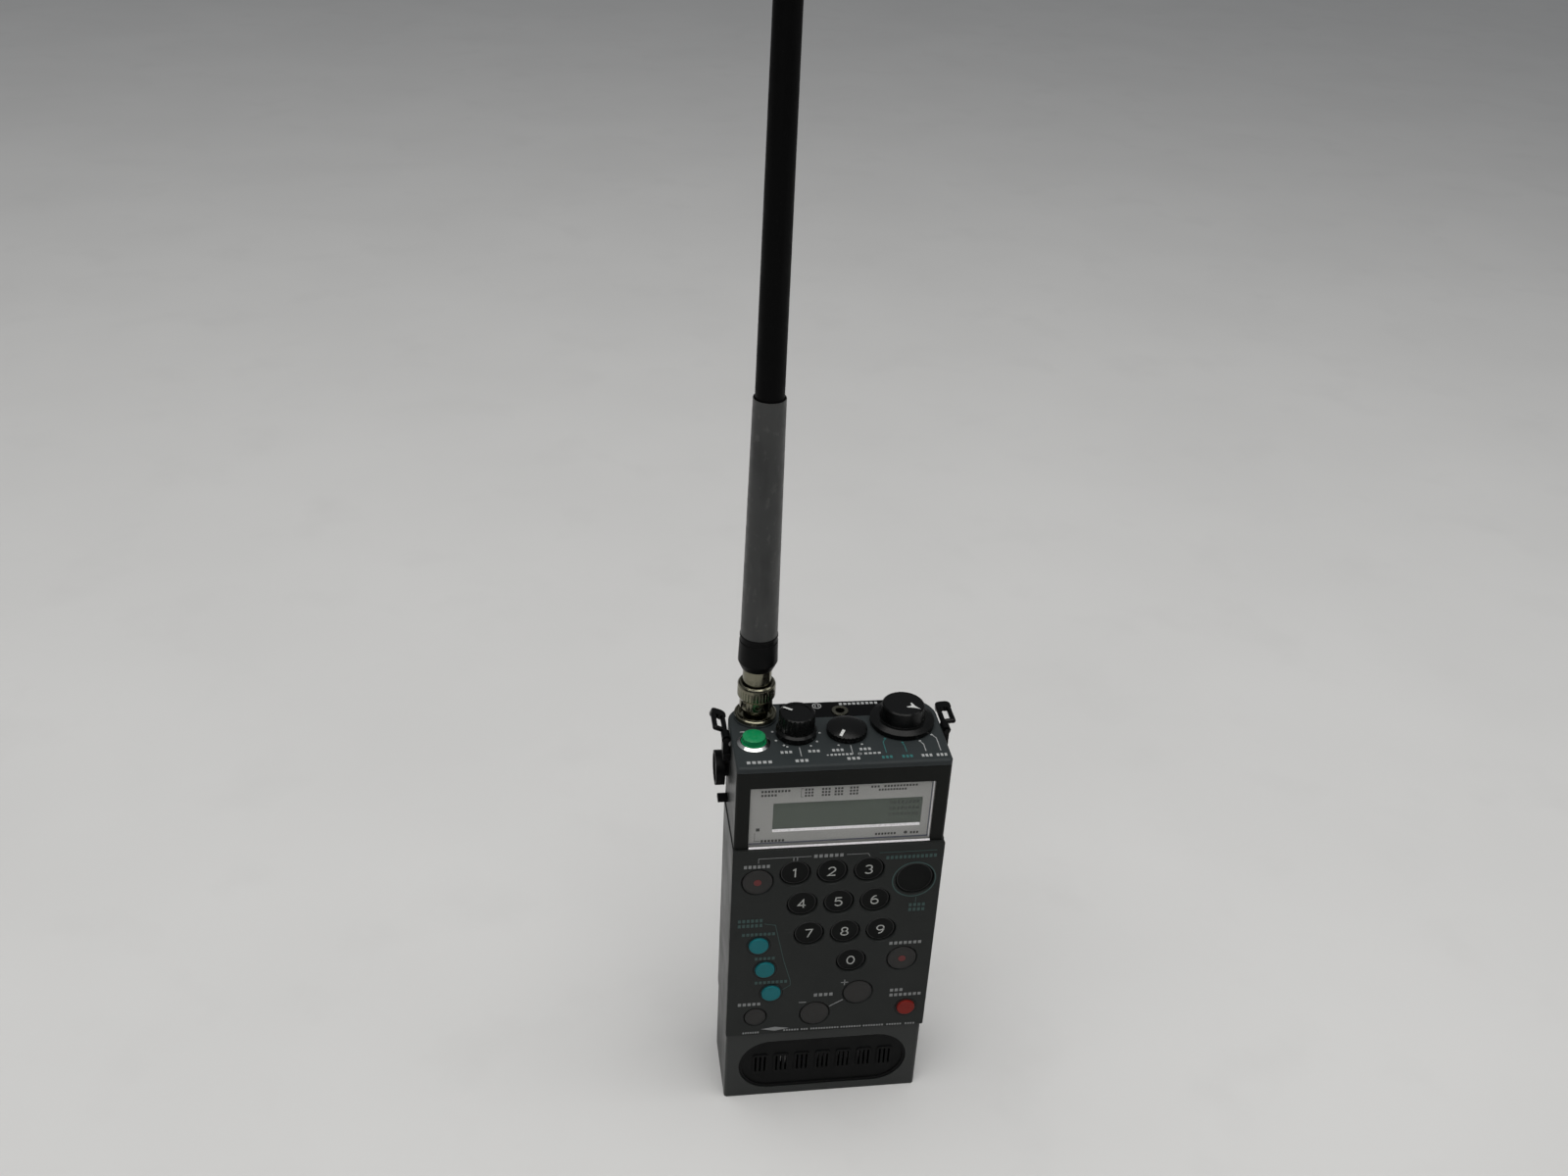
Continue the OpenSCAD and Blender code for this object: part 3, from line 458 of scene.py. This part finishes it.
class Sheet:
    """Printed shapes on one surface, gathered into one thin mesh.

    place turns (u, v, height above the surface) into x, y, z in mm.
    """

    def __init__(self, place):
        self.place = place
        self.mesh = bmesh.new()

    def shape(self, outline):
        """A flat shape of ink's thickness, its outline running anticlockwise."""
        bottom = [self.mesh.verts.new(Vector(self.place(u, v, LIFT)) * MM) for u, v in outline]
        top = [self.mesh.verts.new(Vector(self.place(u, v, LIFT + INK)) * MM) for u, v in outline]
        self.mesh.faces.new(top)
        self.mesh.faces.new(bottom[::-1])
        for i in range(len(outline)):
            j = (i + 1) % len(outline)
            self.mesh.faces.new((bottom[i], bottom[j], top[j], top[i]))

    def bar(self, u0, v0, u1, v1):
        self.shape([(u0, v0), (u1, v0), (u1, v1), (u0, v1)])

    def dot(self, u, v, r, sides=20):
        self.shape([(u + r * math.cos(math.tau * i / sides), v + r * math.sin(math.tau * i / sides))
                    for i in range(sides)])

    def line(self, points, width=0.22):
        """A line through the points, mitred at its bends, closed if it ends where it starts."""
        points = [Vector(p) for p in points]
        closed = (points[0] - points[-1]).length < 1e-6
        left, right = [], []
        for i, p in enumerate(points):
            last = points[i - 1] if i else points[-2]
            ahead = points[i + 1] if i + 1 < len(points) else points[1]
            before = (p - last).normalized() if i or closed else None
            after = (ahead - p).normalized() if i + 1 < len(points) or closed else None
            way = ((before or after) + (after or before)).normalized()
            side = Vector((-way.y, way.x))
            reach = width / 2 / max(0.4, side.dot(Vector((-(after or before).y, (after or before).x))))
            left.append(p + side * reach)
            right.append(p - side * reach)
        for i in range(len(points) - 1):
            self.shape([tuple(p) for p in (right[i], right[i + 1], left[i + 1], left[i])])

    def ring(self, u, v, r_in, r_out, sides=64):
        for i in range(sides):
            a, b = (math.tau * k / sides for k in (i, i + 1))
            self.shape([(u + r * math.cos(t), v + r * math.sin(t))
                        for r, t in ((r_in, a), (r_out, a), (r_out, b), (r_in, b))])

    def word(self, u, v, letters, height=1.5, advance=1.5, tilt=0.0):
        """Stand-in for a printed word: a row of small blocks from u, v, all of one kind."""
        for i in range(letters):
            x = u + i * advance
            y = v + i * advance * tilt
            self.bar(x, y, x + advance * 0.66, y + height)

    def done(self, name, body, material, slot):
        bmesh.ops.recalc_face_normals(self.mesh, faces=self.mesh.faces)
        data = bpy.data.meshes.new(name)
        self.mesh.to_mesh(data)
        self.mesh.free()
        piece = bpy.data.objects.new(name, data)
        scene.collection.objects.link(piece)
        data.materials.append(material)
        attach(piece, body)
        return piece


def on_front(y):
    return lambda u, v, h: (u, y - h, v)


def on_top(z):
    return lambda u, v, h: (u, v, z + h)


def bow(u, v, ru, rv, start, end, steps=14):
    """Points along part of an ellipse."""
    turns = [math.radians(start + (end - start) * i / steps) for i in range(steps + 1)]
    return [(u + ru * math.cos(t), v + rv * math.sin(t)) for t in turns]


# Strokes of plain numerals, 3 mm wide and 4 mm high around their middle
STROKES = {
    0: [bow(0, 0, 1.45, 2, 0, 360, 24)],
    1: [[(-0.75, 1.35), (0.15, 2), (0.15, -2)]],
    2: [bow(0, 0.8, 1.35, 1.2, 165, -30) + [(-1.4, -2), (1.45, -2)]],
    3: [bow(0, 1, 1.25, 1, 155, -90), bow(0, -1, 1.4, 1, 90, -155)],
    4: [[(0.6, -2), (0.6, 2), (-1.5, -0.85), (1.5, -0.85)]],
    5: [[(1.3, 2), (-1.0, 2), (-1.2, 0.3)] + bow(0, -0.7, 1.4, 1.3, 130, -155)],
    6: [bow(0, -0.8, 1.4, 1.2, 0, 360, 20), bow(0.5, -0.6, 1.88, 2.6, 180, 85)],
    7: [[(-1.35, 2), (1.4, 2), (-0.4, -2)]],
    8: [bow(0, 1, 1.15, 1, 0, 360, 20), bow(0, -1, 1.4, 1, 0, 360, 20)],
    9: [bow(0, 0.8, 1.4, 1.2, 0, 360, 20), bow(-0.5, 0.6, 1.88, 2.6, 0, -95)],
}


def paint_gap_shade(node):
    """Painted shade: a dark rim for the shadowed gap, on the cap of a black or grey key, on the panel around
    a coloured one.
    """
    mesh, y = NODES[node], low(node).y
    spots = [mesh.matrix_world @ v.co / MM for v in mesh.data.vertices]
    face = [p for p in spots if p.y < y + 0.05]
    left, right = min(p.x for p in face), max(p.x for p in face)
    bottom, top = min(p.z for p in face), max(p.z for p in face)
    u, v, r = (right + left) / 2, (top + bottom) / 2, (right - left) / 2
    if "preset" in node or "lock" in node:
        sheet = Sheet(on_front(KEYPAD_Y))
        sheet.ring(u, v, r + RIM_GAP, r + RIM_GAP + RIM_WIDTH, 48)
        sheet.done(node + "_rim", "radio", GAP_SHADE_INK, "keypad_plate")
    else:
        sheet = Sheet(on_front(y - 0.01))
        sheet.ring(u, v, r - RIM_WIDTH, r, 48)
        sheet.done(node + "_rim", BODY_OF[node], GAP_SHADE_INK, "key_black")


def print_keys():
    """Numerals on the number keys, red marks on two others and a dark rim of painted shade for every key."""
    for n in range(10):
        node = f"key_{n}"
        c = middle(node)
        sheet = Sheet(on_front(low(node).y))
        for stroke in STROKES[n]:
            sheet.line([(c.x + u, c.z - 0.5 + v) for u, v in stroke], NUMERAL_WIDTH)
        sheet.done(f"numeral_{n}", BODY_OF[node], DIGIT_INK, "key_black")
    for node in ("key_direct", "key_execute"):
        c = middle(node)
        sheet = Sheet(on_front(low(node).y))
        sheet.dot(c.x, c.z, MARK_R)
        sheet.done(node + "_mark", BODY_OF[node], RED_INK, "key_red")
    for node in sorted(n for n in NODES if n.startswith("key_") and n not in ("key_mat", "key_board")):
        paint_gap_shade(node)


def print_keypad():
    """Leader lines, brackets and word stand-ins on the keypad panel."""
    white = Sheet(on_front(KEYPAD_Y))
    direct, one, three = middle("key_direct"), middle("key_1"), middle("key_3")
    bracket_z = 129
    white.line([(direct.x, 126.8), (direct.x, bracket_z), (-10.8, bracket_z)])
    white.line([(2.8, bracket_z), (three.x - 1, bracket_z), (three.x - 0.2, bracket_z - 1.4)])
    for x in (one.x - 1.0, one.x + 0.4):
        white.line([(x, bracket_z - 0.3), (x, bracket_z - 1.8)], 0.35)
    white.word(-9.8, bracket_z - 0.8, 6, 1.5, 2.0)
    white.word(-36.6, 124.4, 6, 1.5, 1.75)
    white.word(23.2, 81.3, 7, 1.5, 1.95)
    white.word(-36.6, 52.7, 5, 1.5, 1.95)
    white.word(-5.8, 55.6, 4, 1.6, 2.1)
    white.word(25.6, 55.6, 3, 1.5, 1.95)
    white.word(25.6, 52.9, 7, 1.5, 1.95)
    down, up = middle("key_scan_down"), middle("key_scan_up")
    way = (up - down).normalized()
    start, end = down + way * 6.9, up - way * 6.9
    white.line([(start.x, start.z), (end.x, end.z)], 0.45)
    white.line([(4.9, 62.4), (7.9, 62.4)], 0.4)
    white.line([(6.4, 60.9), (6.4, 63.9)], 0.4)
    white.line([(-11.8, 52.8), (-8.8, 52.8)], 0.4)
    # a plain lozenge and the row of small marks along the foot of the panel
    white.shape([(-26.6, 39.2), (-21.0, 37.9), (-15.2, 39.0), (-21.0, 40.1)])
    white.word(-34.2, 37.1, 7, 0.9, 1.0)
    for u, count in ((-17.4, 6), (-10.2, 3), (-6.2, 11), (6.4, 8), (15.8, 8), (25.6, 6), (33.4, 4)):
        white.word(u, 37.4 - 0.016 * (u + 17), count, 0.9, 1.1, -0.016)
    white.done("keypad_print_white", "radio", WHITE_INK, "keypad_plate")

    teal = Sheet(on_front(KEYPAD_Y))
    memory = middle("key_memory")
    teal.ring(memory.x, memory.z, 8.25, 8.75)
    teal.line([(15.6, bracket_z), (38.2, bracket_z)], 0.25)
    teal.word(18.4, 125.6, 12, 1.6, 1.7)
    teal.line([(memory.x + 1.6, memory.z - 9), (memory.x + 1.6, memory.z - 11.8)], 0.25)
    for z in (101.0, 98.6):
        teal.word(29.4, z, 4, 1.6, 1.75)
    for z in (97.2, 94.7):
        teal.word(-38.0, z, 6, 1.6, 1.7)
    presets = [middle(f"key_preset_{i}") for i in (1, 2, 3)]
    leader = [(-27.6, 96.2), (-23.2, 95.2), (-19.0, 76.1), (-15.9, 65.2), (-15.8, 62.8), (-18.9, 60.5)]
    teal.line(leader, 0.25)
    for key, count in zip(presets, (8, 5, 8)):
        teal.word(key.x - count * 0.85, key.z + 5.2, count, 1.5, 1.7)
    teal.done("keypad_print_teal", "radio", TEAL_INK, "keypad_plate")


def print_top():
    """Dots, lines and word stand-ins on the top panel."""
    white = Sheet(on_top(TOP_Z))
    teal = Sheet(on_top(TOP_Z))
    volume, squelch, band = middle("volume_knob"), middle("squelch_knob"), middle("band_knob")
    label_y = -17.4
    for knob in (volume, squelch):
        for angle in (-119, -61):
            a = math.radians(angle)
            white.dot(knob.x + DIAL_R * math.cos(a), knob.y + DIAL_R * math.sin(a), 0.45)
        white.word(knob.x - 7.4, -12.4, 3, 1.5, 1.6)
        white.word(knob.x + 3.0, -12.4, 3, 1.5, 1.6)
        white.line([(knob.x, -9.0), (knob.x, -14.6)], 0.28)
        white.word(knob.x - 2.6, label_y - 0.6, 3, 1.6, 1.8)
    white.dot(squelch.x - 9.5, -14.5, 0.4)
    white.word(squelch.x - 8.5, -15.0, 6, 1.1, 1.45)
    white.ring(squelch.x + 2.6, -14.5, 0.45, 0.7, 20)
    white.word(squelch.x + 4.3, -15.0, 4, 1.1, 1.7)
    power = middle("power_ring")
    white.word(power.x - 0.8, power.y + 6.8, 2, 1.3, 1.7)
    white.bar(power.x - 4.4, power.y + 6.9, power.x - 2.6, power.y + 7.4)
    for angle in (-37, 0, 168, 205, 232):
        a = math.radians(angle)
        white.dot(volume.x + 9 * math.cos(a), volume.y + 9 * math.sin(a), 0.5, 8)
    white.word(-36.6, label_y - 0.6, 5, 1.6, 2.0)
    # selector positions: a dot beside the knob, a line forward and a word stand-in
    for angle, x, sheet in ((-130, 16.2, teal), (-100, 23.9, teal), (-70, 31.3, white), (-42, 37.0, white)):
        a = math.radians(angle)
        u, v = band.x + BAND_DIAL_R * math.cos(a), band.y + BAND_DIAL_R * math.sin(a)
        sheet.dot(u, v, 0.5)
        sheet.line([(u, v), (x, v - 2.2), (x, -14.6)], 0.3)
        sheet.word(x - 2.2, label_y - 0.6, 3, 1.6, 1.5)
    white.done("top_print_white", "radio", TOP_INK, "top_plastic")
    teal.done("top_print_teal", "radio", TOP_TEAL_INK, "top_plastic")

    strip = Sheet(on_top(high("jack_strip").z))
    ear, aux = middle("earphone_jack"), middle("aux_antenna_jack")
    strip.word(aux.x + 0.4, 17.3, 9, 1.4, 1.75)
    strip.ring(ear.x + 6.2, 17.3, 1.45, 1.8, 32)
    for x in (-0.6, 0.6):
        strip.bar(ear.x + 6.2 + x - 0.2, 16.6, ear.x + 6.2 + x + 0.2, 18.0)
    strip.done("strip_print", "radio", TOP_INK, "black_plastic")


def on_dome(c, top, radius):
    """A spherical top of that radius, its summit over c."""
    return lambda u, v, h: (u, v, top + h - radius + math.sqrt(radius ** 2 - (u - c.x) ** 2 - (v - c.y) ** 2))


def knob_marks():
    """White pointer marks on the three knobs."""
    c, top = middle("volume_knob"), high("volume_knob").z
    way = Vector((math.cos(math.radians(145)), math.sin(math.radians(145))))
    sheet = Sheet(on_top(top))
    sheet.line([tuple(Vector((c.x, c.y)) + way * r) for r in (2.2, 6.0)], 0.9)
    sheet.done("volume_knob_mark", BODY_OF["volume_knob"], POINTER_INK, "black_plastic")

    c, top = middle("squelch_knob"), high("squelch_knob").z
    start, end = Vector((c.x - 1.9, c.y - 3.6)), Vector((c.x - 3.5, c.y - 6.0))
    sheet = Sheet(on_dome(c, top, 17.6))
    sheet.line([tuple(start.lerp(end, i / 6)) for i in range(7)], 1.2)
    sheet.done("squelch_knob_mark", BODY_OF["squelch_knob"], POINTER_INK, "black_plastic")

    c, top = middle("band_knob"), high("band_knob").z
    a = math.radians(-38)
    along, across = Vector((math.cos(a), math.sin(a))), Vector((-math.sin(a), math.cos(a)))
    sheet = Sheet(on_top(top))
    one_side = [(7.3, 0), (5.0, 0.5), (2.5, 1.8), (2.2, 1.5), (3.2, 0.3)]
    arrow = one_side + [(f, -w) for f, w in one_side[:0:-1]]
    sheet.shape([tuple(Vector((c.x, c.y)) + along * f + across * w) for f, w in arrow])
    sheet.done("band_knob_mark", BODY_OF["band_knob"], POINTER_INK, "black_plastic")


def ledge(name, span, top, front):
    """A sloped ledge along x, white as painted highlight for a glint, from its upper rear edge to its lower
    front edge, each (y, z) in mm.
    """
    (y0, z0), (y1, z1) = top, front
    section = [(y0, z0), (y1, z1), (y1, z1 - 0.15), (y0, z1 - 0.15)]
    corners = [Vector((x, y, z)) * MM for x in span for y, z in section]
    faces = [(0, 1, 2, 3), (7, 6, 5, 4)] + [(i, (i + 1) % 4, (i + 1) % 4 + 4, i + 4) for i in range(4)]
    data = bpy.data.meshes.new(name)
    data.from_pydata(corners, [], faces)
    shape = bmesh.new()
    shape.from_mesh(data)
    bmesh.ops.recalc_face_normals(shape, faces=shape.faces)
    shape.to_mesh(data)
    shape.free()
    data.materials.append(GLINT_WHITE)
    piece = bpy.data.objects.new(name, data)
    scene.collection.objects.link(piece)
    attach(piece, "radio")


def print_display():
    """Marks, white ledges and a white side strip of painted highlight, blue edge strips on the silver frame,
    and marks in the liquid crystal.
    """
    face = Sheet(on_front(low("lcd_bezel").y))
    face.word(-31, 158.6, 9, 1.0, 1.25)
    face.word(-31, 156.8, 5, 1.0, 1.25)
    face.line([(-15.2, 159.8), (-16, 159.8), (-16, 156.0), (-15.2, 156.0)], 0.15)
    for z in (158.8, 157.4, 156.0):
        for u, count in ((-14.6, 3), (-8.2, 3), (-3.4, 3), (2.4, 3)):
            face.word(u, z, count, 0.9, 1.2)
    face.word(10.4, 158.8, 3, 0.9, 1.2)
    face.word(15.4, 158.8, 11, 0.9, 1.2)
    face.word(13.4, 157.2, 10, 0.9, 1.1)
    face.bar(-32.4, 140.6, -31, 142)
    face.line([(-32.8, 139.8), (-32.8, 135.8), (-30.8, 135.8)], 0.15)
    face.word(-30.4, 135.2, 7, 1.1, 1.35)
    face.word(13.6, 136.0, 7, 1.0, 1.2)
    face.dot(25.4, 136.7, 0.7)
    face.word(27.2, 136.0, 3, 1.0, 1.2)
    face.done("display_print", "radio", DARK_INK, "frame_silver")
    frame_low = low("lcd_bezel")
    glass_y, window_y = low("lcd_panel").y, low("lcd_window").y
    # white ledges: painted highlight for the glints along the lower edges of the liquid crystal and the
    # window
    ledge("lcd_ledge", (-26.1, 30.7), (glass_y - 0.02, 140.75), (frame_low.y - 0.02, 140.0))
    ledge("window_ledge", (-35, 35), (window_y - 0.02, 133.7), (window_y - 0.4, 133.1))
    # white strip: painted highlight down the frame's right edge
    side = Sheet(on_front(frame_low.y))
    side.bar(34.4, 134.0, 34.7, 160.6)
    side.done("display_side", "radio", GLINT_WHITE, "frame_silver")
    edge = Sheet(on_front(frame_low.y))
    edge.bar(-34.9, 134.35, 34.2, 135.0)
    edge.bar(33.7, 135.0, 34.1, 160.6)
    edge.done("display_edge", "radio", EDGE_BLUE, "frame_silver")
    glass = Sheet(on_front(glass_y))
    for z in (150.2, 147.4, 144.6):
        glass.word(18.2, z, 8, 1.4, 1.5)
    glass.done("lcd_segments", "radio", LCD_INK, "lcd_glass")


add_camera()
add_studio()
dress_nodes()
print_keys()
print_keypad()
print_top()
knob_marks()
print_display()
